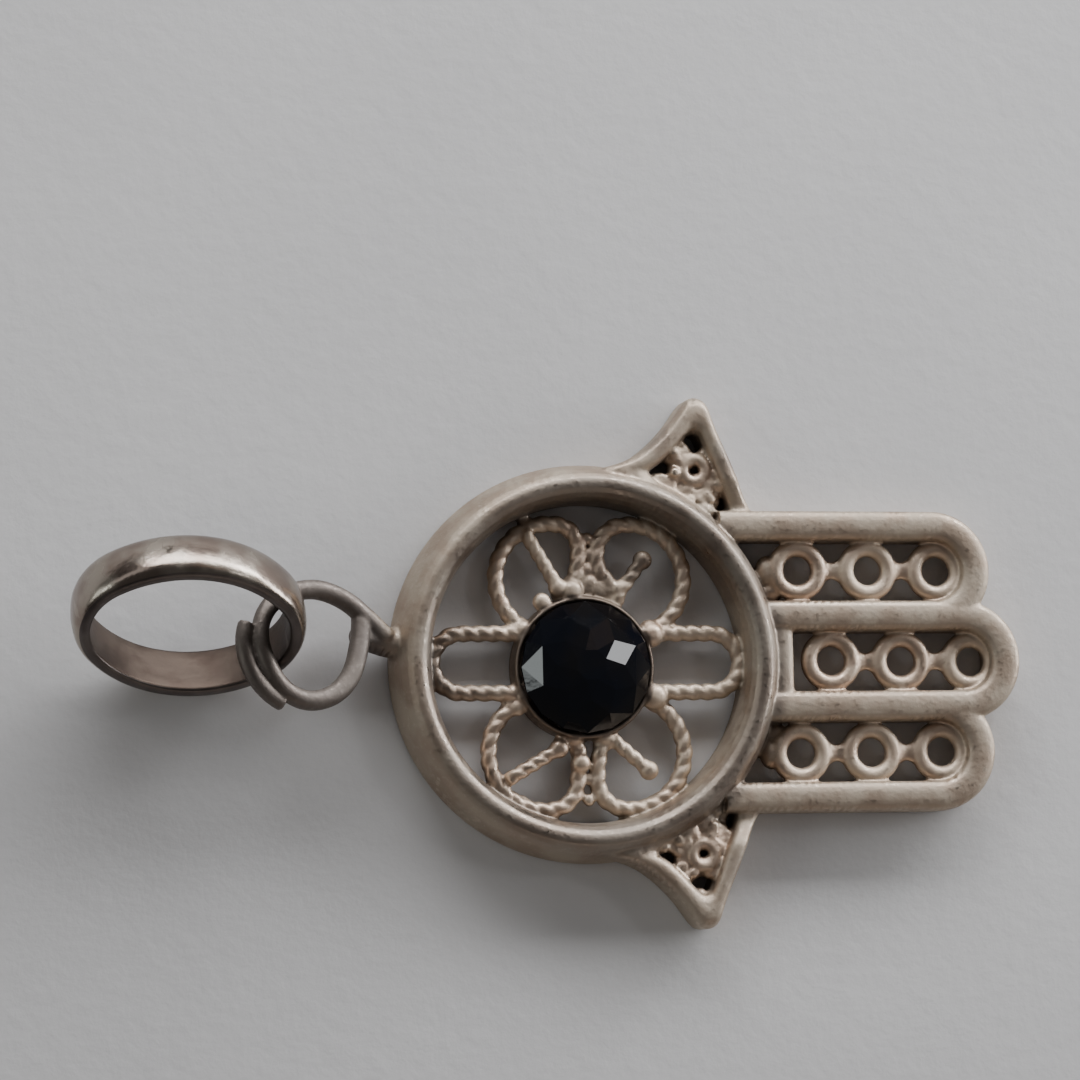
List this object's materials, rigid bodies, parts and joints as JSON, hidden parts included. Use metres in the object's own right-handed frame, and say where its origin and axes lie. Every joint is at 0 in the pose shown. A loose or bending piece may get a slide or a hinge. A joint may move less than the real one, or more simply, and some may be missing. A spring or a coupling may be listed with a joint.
{
  "type": "filigree hand pendant",
  "caption": "Silver hand-shaped pendant with a wire flower round a dark cut stone, rings of wire in its fingers, and an oval bail linked through its hanging loop.",
  "frame": {"origin": "middle of the palm ring on the flat back, which is the plane z = 0 that the pendant lies on", "axes": "+X from the palm towards the fingertips, +Z out of the front, +Y across the hand"},
  "size_m": [0.0302, 0.0166, 0.0052],
  "materials": {
    "silver": "cast and drawn silver, worn bright on the edges and darkened in the recesses",
    "dark_stone": "polished, opaque, near black"
  },
  "bodies": {
    "root": {"hand": "silver", "stone": "dark_stone", "bail": "silver"}
  },
  "joints": []
}
